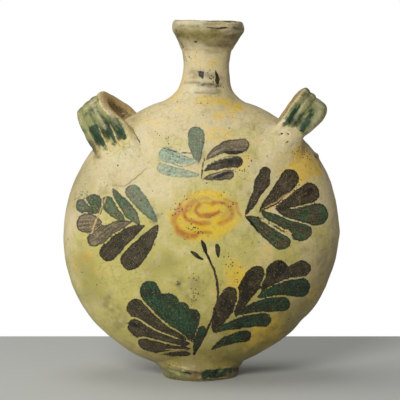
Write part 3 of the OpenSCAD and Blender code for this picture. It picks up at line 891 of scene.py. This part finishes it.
def neck_marks(p):
    """Pits in the lip and the neck, in mm outwards."""
    at = photo_place(p)
    total = np.zeros(len(p))
    for place, size, out in [((186.0, 53.0), 2.2, -0.7), ((188.5, 57.5), 1.8, -0.6), ((185.5, 60.5), 1.5, -0.5),
        ((196.0, 42.0), 1.6, -0.5), ((243.5, 24.0), 3.0, -0.8), ((226.0, 21.0), 2.2, -0.4)]:
        total += out * np.exp(-((at - place) ** 2).sum(1) / size ** 2)
    nick = smooth(noise(p, 4.5, 12), 0.45, 0.8) * smooth(p[:, 2], RIM_Z - 6, RIM_Z - 1)
    return total * (p[:, 1] < 10) - 0.45 * nick


def make_neck():
    lo = (NECK_X - 46, -46, CENTRE_Z + 84)
    hi = (NECK_X + 46, 46, RIM_Z + 2)
    neck = make_object("glazed_neck", *relieved(neck_field, lo, hi, 0.8, neck_marks))
    p = places(neck)
    r = np.hypot(p[:, 0] - neck_axis(p[:, 2]), p[:, 1])
    at = photo_place(p)
    # Painted shade under the lip and inside the funnel; the scuff by the pits is dirt
    under_lip = smooth(p[:, 2], 266, 272) * smooth(-p[:, 2], -284, -279) * (r > 19)
    inside = smooth(-r, -24, -14) * smooth(p[:, 2], 225, 262) * (r < np.interp(p[:, 2], (262, 289), (15, 25)))
    scuff = smooth(noise(p, 3.0, 15), 0.35, 0.7) * np.exp(-((at - (187, 55)) ** 2).sum(1) / 60)
    lip_wear = smooth(noise(p, 5.0, 16), 0.3, 0.75) * smooth(p[:, 2], RIM_Z - 5, RIM_Z - 1)
    dress(neck, grime_and_shade=np.clip(0.45 * under_lip + 0.6 * inside + 0.8 * scuff, 0, 1), clay=0.6 * lip_wear)
    return neck


# The straps: side, height over the body, widths at the top and at the roots, turn, how far the front leg
# leans out, how far the pads stand out, and where the grooves run across the width, from -1 to 1
ARCH_R = 26.0
STRAP_T = 8.0
STRAP_LINING = 3.0
HANDLE_ANGLE = 50.0
STRAPS = {
    "left": (-1, 29.5, 27.5, 36.0, 11.0, 6.5, 5.0, (-1.0, -0.5, -0.02, 0.45, 1.0)),
    "right": (1, 33.4, 25.0, 23.0, -1.0, 0.0, 9.5, (-1.0, -0.45, 0.02, 1.0)),
}
ROOT_Z = EDGE_C + math.sqrt(EDGE_R ** 2 - ARCH_R ** 2)
# Where the copper green gathered at the lower ends of the ribs, as washes on the photograph
RIB_ENDS = [
    (0.95, 3.2, (94, 128), (104.5, 148)),
    (0.95, 2.9, (105, 124), (114.4, 143)),
    (0.90, 2.6, (116, 120), (123.6, 137)),
    (0.85, 2.6, (298, 106), (290, 120)),
    (0.95, 2.8, (311, 112), (302.6, 129)),
]


def strap_frame(p, side, turn):
    """Points in a strap's own axes: across its width, over the edge from front to back, and outwards."""
    a = math.radians(side * (90 - HANDLE_ANGLE))
    b = math.radians(side * turn)
    x, y, z = p[..., 0], p[..., 1], p[..., 2] - CENTRE_Z
    x, z = x * math.cos(a) - z * math.sin(a), x * math.sin(a) + z * math.cos(a)
    return x * math.cos(b) + y * math.sin(b), -x * math.sin(b) + y * math.cos(b), z


def strap_parts(p, name):
    """A strap's distances and places: its solid, its width share, its depth, and where its pads lie."""
    side, rise, top_w, root_w, turn, lean, _, grooves = STRAPS[name]
    t, y, z = strap_frame(p, side, turn)
    top = BODY_R + rise
    arch_z = top - ARCH_R - STRAP_T / 2
    half = (top_w + (root_w - top_w) * smooth((top - z) / (top - ROOT_Z), 0.1, 1.0)) / 2
    t = t + 0.6 * np.sin(z / 8 + 3 * side) * smooth(top - z, 0, 20)
    if side > 0:
        t = t - 3.2 * np.exp(-((top - z - 13) / 11) ** 2) * smooth(t, 0, 12) + 4.0 * smooth(top - z, 26, 44) * smooth(t, 0, 12)
    lean = lean * smooth(arch_z - z, 0, 26) * (y < 0)
    flat_y = np.abs(y) * (1 - 0.06 * smooth(np.abs(y) / ARCH_R, 0.3, 0.9) * smooth(z, arch_z, top))
    depth = np.where(z > arch_z, np.hypot(flat_y, z - arch_z), np.abs(y)) - ARCH_R - lean
    share = t / half
    lines = np.array(grooves)
    rib = np.clip(np.searchsorted(lines, share) - 1, 0, len(lines) - 2)
    groove = np.abs(2 * (share - lines[rib]) / (lines[rib + 1] - lines[rib]) - 1)
    groove = np.minimum(groove, 1)
    low = smooth(top - z, 4, 30)
    outer = STRAP_T / 2 + 0.5 * np.sin(1.9 * rib + side) - (0.9 + 1.4 * low) * groove ** 2.4
    outer = outer + 0.35 * noise(p, 6, 33)
    inner = -STRAP_T / 2 - STRAP_LINING
    corner = np.where(t > 0, 3.4, 2.2)
    slab_t = np.abs(t) - half + corner
    slab_n = np.abs(depth - (outer + inner) / 2) - (outer - inner) / 2 + corner
    solid = np.hypot(np.maximum(slab_t, 0), np.maximum(slab_n, 0)) + np.minimum(np.maximum(slab_t, slab_n), 0) - corner
    pad = np.hypot((t - 5) / 23, (np.abs(y) - ARCH_R - 3 - lean) / 17) if side > 0 else np.hypot((t + 4) / 23,
        (np.abs(y) - ARCH_R - 3 - lean) / 17)
    return solid, share, depth, pad, groove, y, z, top


def strap_field(p, name):
    solid, _, _, pad, _, _, z, _ = strap_parts(p, name)
    height = STRAPS[name][6]
    ground = body_field(p) - height * (1 - smooth(pad, 0.1, 0.95)) + 1.1 * smooth(pad, 0.85, 1.3)
    ground = np.where(z > EDGE_C, ground, body_field(p) + 1.1)
    away = np.minimum(solid, (pad - 1) * 18)
    return trimmed(smooth_min(solid, ground, 4.0), p, away, 7)


def strap_marks(p):
    at = photo_place(p)
    total = np.zeros(len(p))
    for place, size, out in [((281.0, 134.0), 1.6, -1.2), ((287.5, 134.0), 1.4, -1.0), ((308.5, 139.0), 2.5, 0.5)]:
        total += out * np.exp(-((at - place) ** 2).sum(1) / size ** 2)
    return total * (p[:, 1] < 0) + 0.12 * noise(p, 2.6, 31)


def make_strap(name):
    side = STRAPS[name][0]
    middle = np.array([side * 79.0, 0, CENTRE_Z + 92.0])
    lo, hi = middle - (50, 52, 50), middle + (50, 52, 50)
    strap = make_object(f"{name}_strap", *relieved(lambda p: strap_field(p, name), lo, hi, 0.75, strap_marks))
    p = places(strap)
    solid, share, depth, pad, groove, y, z, top = strap_parts(p, name)
    outer = smooth(depth, 0.3, 1.6) * smooth(-solid, -1.6, -0.2)
    low = smooth(top - z, 8, 32)
    streak = noise(np.stack([share * 14, y * 0.3, z * 0.12], axis=-1), 1.0, 41)
    streak = 0.7 * streak + 0.5 * noise(np.stack([share * 30, y * 0.5, z * 0.25], axis=-1), 1.0, 45)
    mottle = noise(p, 4.5, 42)
    edge = smooth(np.abs(share), 0.84, 0.98) if side > 0 else smooth(share, 0.7, 0.86) + smooth(-share, 0.9, 1.0)
    copper = outer * (0.62 - 0.75 * edge + 0.4 * low + 0.3 * mottle) + 0.1 * smooth(-solid, -4, 0)
    deep = outer * (0.1 + 0.5 * smooth(groove, 0.45, 0.95) * (0.5 + 0.5 * low) + 0.5 * low + 0.45 * streak + 0.25 * mottle)
    at = photo_place(p) + 0.8 * np.stack([noise(p, 3, 46), noise(p, 3, 47)], axis=-1)
    ends = wash_density(at, RIB_ENDS) * (p[:, 1] < 0) * np.clip(0.8 + 0.7 * streak + 0.3 * mottle, 0, 1)
    copper = copper * np.where(p[:, 1] < 0, smooth(at[:, 0] * side, 280 if side > 0 else -128, 287 if side > 0 else -121), 1)
    copper = np.where(p[:, 1] < 0, copper * (1 - 0.6 * smooth(top - z, 34, 44)), copper) + 1.2 * ends
    deep = np.where(p[:, 1] < 0, 0.8 * deep, deep) + 0.9 * ends
    inner = smooth(-depth, 0.5, 2.5) * smooth(-solid, -1.5, -0.2)
    line = np.exp(-((np.abs(share) - 0.99) / 0.05) ** 2) * smooth(-np.abs(solid), -1.5, -0.3)
    top_line = smooth(z, top - 2.5, top - 0.5) * smooth(noise(p, 5, 44), -0.5, 0.3)
    # Painted shade on the strap's inner face inside the loop; dirt along its sides, its top and in patches
    grime_and_shade = 0.85 * inner + 0.6 * line * smooth(noise(p, 7, 43), -0.5, 0.4) + 0.6 * top_line + 0.3 * outer * smooth(mottle, 0.1, 0.8)
    dress(strap, copper=copper, deep=np.clip(deep, 0, 1), clay=0.62 * edge * (1 - low * 0.5) + 0.35 * inner,
        grime_and_shade=np.clip(grime_and_shade, 0, 1))
    return strap


FOOT_X = -1.6
FOOT_OUTSIDE = [(23.0, 2.0), (23.6, 0.2), (25.0, 0.0), (30.0, 0.0), (31.4, 0.9), (31.8, 3.0), (32.4, 6.4),
    (33.4, 8.4), (33.2, 10.0), (31.0, 13.0), (29.4, 17.0), (28.6, 23.0), (24.0, 26.0), (23.0, 20.0)]


def foot_field(p):
    x, y, z = p[..., 0] - FOOT_X, p[..., 1], p[..., 2]
    turn = np.arctan2(y, x)
    r = np.hypot(x, y) - 0.5 * np.sin(3 * turn + 1.0) - 0.35 * np.sin(7 * turn)
    r = r - 1.6 * smooth(-x, 24, 34) * smooth(z, 6, 11)
    ring = outline_distance(r, z - 0.4 * np.sin(2 * turn) * smooth(z, 3, 8), rounded(FOOT_OUTSIDE))
    solid = smooth_min(ring, sunk_body(p, r, 33, 40), 7)
    return trimmed(solid, p, r, 42, 4.0)


def foot_marks(p):
    """Chips along the ring's edges, and the flat that it stands on, in mm outwards."""
    at = photo_place(p)
    chip = smooth(noise(p, 5.5, 51), 0.25, 0.75) * smooth(p[:, 2], 1.0, 5.0) * smooth(-p[:, 2], -12, -8)
    corner = np.exp(-((at - (235.5, 369.5)) ** 2).sum(1) / 3.2 ** 2) * (p[:, 1] < 0)
    return -1.3 * chip - 2.2 * corner + 0.5 * noise(p, 13, 52) * smooth(-p[:, 2], -14, -10)


def make_foot():
    lo, hi = (FOOT_X - 46, -46, -1.5), (FOOT_X + 46, 46, 30)
    points, faces = relieved(foot_field, lo, hi, 0.8, foot_marks)
    points[:, 2] = np.maximum(points[:, 2], 0.0)
    foot = make_object("glazed_foot", points, faces)
    p = places(foot)
    at = photo_place(p)
    turn = np.arctan2(p[:, 1], p[:, 0] - FOOT_X)
    band = smooth(-p[:, 2], -11.5, -8.5) * smooth(p[:, 2], 0.4, 2.2)
    patches = smooth(np.sin(2.6 * turn + 0.4) + 0.8 * noise(p, 14, 53), -0.5, 0.5)
    front = p[:, 1] < 0
    across = at[:, 0] + 3.0 * noise(p, 5, 56) + 1.6 * noise(p, 2.2, 57)
    emerald = smooth(-np.abs(across - 217) / 15, -1.15, -0.75) * front
    unglazed = smooth(-np.abs(across - 196.5) / 5.5, -1.3, -0.6) * front
    chip = np.exp(-((at - (235.5, 369.5)) ** 2).sum(1) / 3.0 ** 2) * front
    copper = band * np.clip(0.25 + 0.6 * patches + emerald - 0.9 * unglazed, 0, 1)
    deep = band * (0.25 + 0.5 * emerald + 0.45 * noise(p, 3.4, 54) + 0.25 * noise(p, 8, 58))
    sole = smooth(-p[:, 2], -1.6, -0.3)
    ledge = smooth(p[:, 2], 7.0, 9.0) * smooth(-p[:, 2], -12, -9.5) * smooth(noise(p, 6, 55), -0.3, 0.4)
    # The darkening over the bottom 3 mm of the foot is a painted contact shadow; the rest is dirt on bare clay and in
    # the chip
    dress(foot, copper=copper, deep=np.clip(deep, 0, 1), clay=np.clip(0.75 * sole + 0.45 * ledge * (1 - emerald), 0, 1),
        grime_and_shade=np.clip(0.75 * unglazed * band + 0.95 * smooth(-p[:, 2], -3.0, -0.8) + chip, 0, 1))
    return foot


def make_stage():
    """A plain pale floor, whose far edge lies where the photograph's table ends."""
    far, near, half = 0.185, -2.2, 2.4
    mesh = bpy.data.meshes.new("floor")
    mesh.from_pydata([(-half, near, 0), (half, near, 0), (half, far, 0), (-half, far, 0)], [], [(0, 1, 2, 3)])
    floor = bpy.data.objects.new("floor", mesh)
    bpy.context.scene.collection.objects.link(floor)
    material, tree, shader = new_material("floor")
    shader.inputs["Base Color"].default_value = (0.55, 0.56, 0.52, 1.0)
    shader.inputs["Roughness"].default_value = 0.55
    mesh.materials.append(material)


def make_light(name, place, size, power, aim=(0, 0, 0.14)):
    data = bpy.data.lights.new(name, "AREA")
    data.shape = "DISK"
    data.size = size
    data.energy = power
    lamp = bpy.data.objects.new(name, data)
    bpy.context.scene.collection.objects.link(lamp)
    lamp.location = place
    lamp.rotation_euler = (Vector(aim) - Vector(place)).to_track_quat("-Z", "Y").to_euler()


def make_lights():
    make_light("key", (-0.57, -1.6, 1.0), 0.7, 22)
    make_light("rim", (-1.3, 0.1, 0.7), 0.8, 5)
    make_light("top", (-0.2, 0.1, 1.6), 0.9, 5)
    world = bpy.data.worlds.new("studio")
    world.use_nodes = True
    tree = world.node_tree
    sky = tree.nodes["Background"]
    sky.inputs["Color"].default_value = (1, 1, 1, 1)
    wall = node(tree, "ShaderNodeBackground", {"Color": (1, 1, 1, 1), "Strength": 1.0})
    sky.inputs["Strength"].default_value = 0.2
    shown = node(tree, "ShaderNodeMixShader", {0: node(tree, "ShaderNodeLightPath").outputs["Is Camera Ray"],
        1: sky.outputs[0], 2: wall.outputs[0]})
    tree.links.new(shown.outputs[0], tree.nodes["World Output"].inputs["Surface"])
    bpy.context.scene.world = world


def make_camera():
    data = bpy.data.cameras.new("camera")
    camera = bpy.data.objects.new("camera", data)
    bpy.context.scene.collection.objects.link(camera)
    camera.location = Vector(EYE * MM)
    camera.rotation_euler = Vector((AIM - EYE) * MM).to_track_quat("-Z", "Y").to_euler()
    data.lens = data.sensor_width * PICTURE_PX / FRAME_PX
    data.clip_start = 0.05
    data.clip_end = 20
    bpy.context.scene.camera = camera


make_camera()
make_stage()
make_lights()
bpy.context.scene.view_settings.view_transform = "Standard"

glaze = glaze_material()
made = {
    "glazed_body": (make_body(), ["front_shell", "back_shell"]),
    "glazed_neck": (make_neck(), ["neck", "neck_lute", "mouth"]),
    "left_strap": (make_strap("left"), ["left_handle", "left_front_pad", "left_back_pad"]),
    "right_strap": (make_strap("right"), ["right_handle", "right_front_pad", "right_back_pad"]),
    "glazed_foot": (make_foot(), ["foot_ring", "foot_lute"]),
}
chipped = edge_chip(places(made["glazed_body"][0]))
dress(made["glazed_body"][0], clay=0.5 * chipped, grime_and_shade=0.9 * chipped)
for piece, stands_for in made.values():
    piece.data.materials.clear()
    piece.data.materials.append(glaze)
    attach(piece, "root")
    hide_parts(*stands_for)

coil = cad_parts["seam_coil"]
coil.data.materials.clear()
coil.data.materials.append(clay_material())
